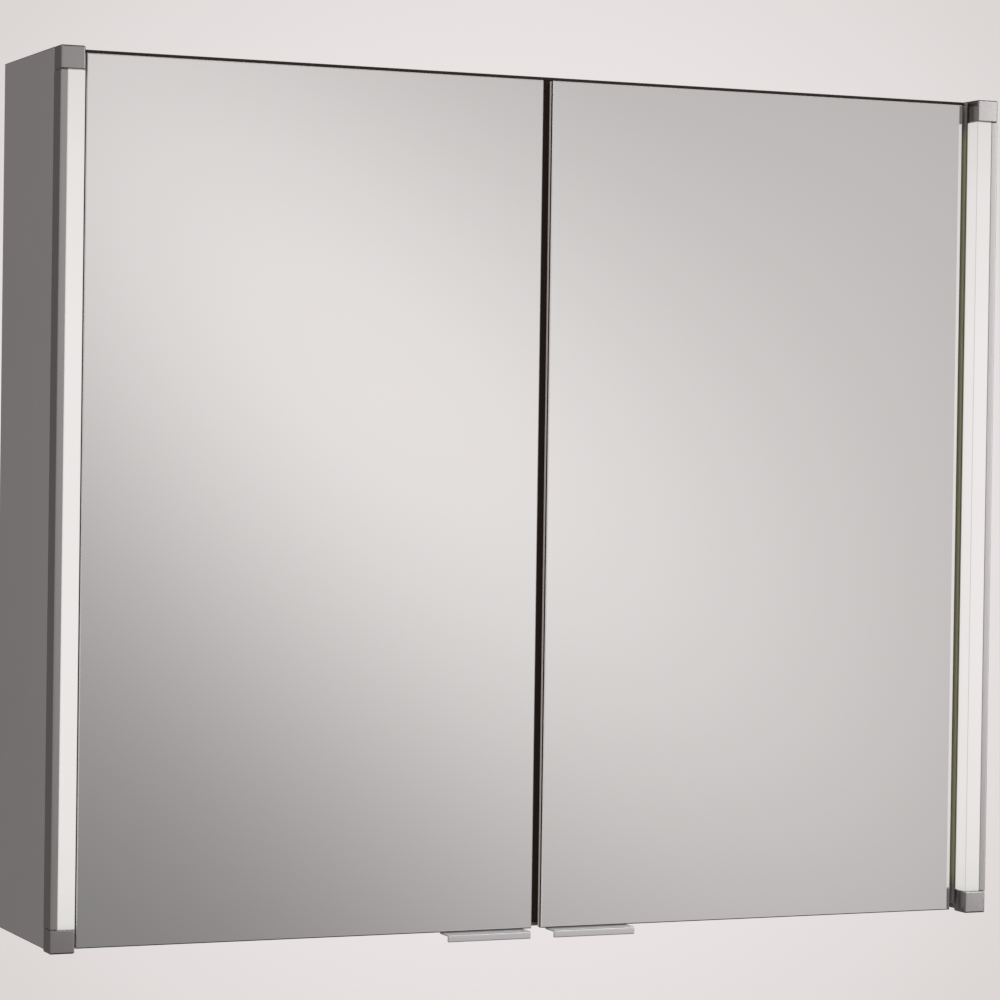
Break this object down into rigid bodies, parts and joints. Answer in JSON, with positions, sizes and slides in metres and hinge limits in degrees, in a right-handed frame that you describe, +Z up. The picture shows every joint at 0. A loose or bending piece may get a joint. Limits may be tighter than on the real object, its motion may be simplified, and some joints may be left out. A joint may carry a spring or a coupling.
{
  "type": "medicine cabinet with mirror",
  "caption": "Wall-hung mirror cabinet with hinged mirror doors, a slim upright lamp along each side, small tab handles and glass shelves inside.",
  "frame": {"origin": "middle of the back face, on the wall plane", "axes": "+X to the right seen from in front, +Y into the wall, +Z up"},
  "size_m": [0.804, 0.156, 0.68],
  "materials": {
    "side_aluminium": "fine brushed, dark anodised",
    "lamp_aluminium": "satin anodised",
    "handle_aluminium": "satin anodised",
    "interior_aluminium": "satin anodised",
    "back_sheet": "mill finish sheet",
    "mirror_glass": "silvered glass, polished edges",
    "opal_diffuser": "opal acrylic",
    "circuit_board": "white circuit board",
    "shelf_glass": "clear glass, polished edges",
    "hinge_nickel": "nickel plated",
    "bracket_steel": "zinc plated",
    "black_rubber": "matt",
    "white_plastic": "moulded"
  },
  "bodies": {
    "cabinet": {"back_mirror_left": "mirror_glass", "back_mirror_right": "mirror_glass", "back_panel": "back_sheet", "bottom_panel": "interior_aluminium", "cable_grommet": "black_rubber", "centre_seal": "black_rubber", "diffuser_left": "opal_diffuser", "diffuser_right": "opal_diffuser", "hanger_bracket_left": "bracket_steel", "hanger_bracket_right": "bracket_steel", "hinge_arm_left_lower": "hinge_nickel", "hinge_arm_left_upper": "hinge_nickel", "hinge_arm_right_lower": "hinge_nickel", "hinge_arm_right_upper": "hinge_nickel", "hinge_pin_left_lower": "bracket_steel", "hinge_pin_left_upper": "bracket_steel", "hinge_pin_right_lower": "bracket_steel", "hinge_pin_right_upper": "bracket_steel", "lamp_cap_left_bottom": "lamp_aluminium", "lamp_cap_left_top": "lamp_aluminium", "lamp_cap_right_bottom": "lamp_aluminium", "lamp_cap_right_top": "lamp_aluminium", "lamp_profile_left": "lamp_aluminium", "lamp_profile_right": "lamp_aluminium", "led_driver": "white_plastic", "led_strip_left": "circuit_board", "led_strip_right": "circuit_board", "partition": "interior_aluminium", "service_box": "white_plastic", "shelf_left_1": "shelf_glass", "shelf_left_2": "shelf_glass", "shelf_rail_left_1_inner": "interior_aluminium", "shelf_rail_left_1_outer": "interior_aluminium", "shelf_rail_left_2_inner": "interior_aluminium", "shelf_rail_left_2_outer": "interior_aluminium", "shelf_rail_right_1_inner": "interior_aluminium", "shelf_rail_right_1_outer": "interior_aluminium", "shelf_rail_right_2_inner": "interior_aluminium", "shelf_rail_right_2_outer": "interior_aluminium", "shelf_right_1": "shelf_glass", "shelf_right_2": "shelf_glass", "side_channel_left": "side_aluminium", "side_channel_right": "side_aluminium", "side_liner_left": "interior_aluminium", "side_liner_right": "interior_aluminium", "socket_insert": "white_plastic", "top_panel": "interior_aluminium", "top_seal": "black_rubber"},
    "left_door": {"door_inner_mirror_left": "mirror_glass", "door_mirror_left": "mirror_glass", "handle_left": "handle_aluminium", "hinge_leaf_left_lower": "hinge_nickel", "hinge_leaf_left_upper": "hinge_nickel"},
    "right_door": {"door_inner_mirror_right": "mirror_glass", "door_mirror_right": "mirror_glass", "handle_right": "handle_aluminium", "hinge_leaf_right_lower": "hinge_nickel", "hinge_leaf_right_upper": "hinge_nickel"},
    "switch": {"rocker_switch": "white_plastic"}
  },
  "joints": [
    {"name": "left_door_hinge", "type": "hinge", "parent": "cabinet", "child": "left_door", "pos_m": [-0.3613, -0.129, 0], "axis": [0, 0, -1], "range_deg": [0, 105]},
    {"name": "right_door_hinge", "type": "hinge", "parent": "cabinet", "child": "right_door", "pos_m": [0.3613, -0.129, 0], "axis": [0, 0, 1], "range_deg": [0, 105]},
    {"name": "light_switch", "type": "hinge", "parent": "cabinet", "child": "switch", "pos_m": [0.3478, -0.0966, -0.2423], "axis": [1, 0, 0], "range_deg": [0, 12]}
  ]
}
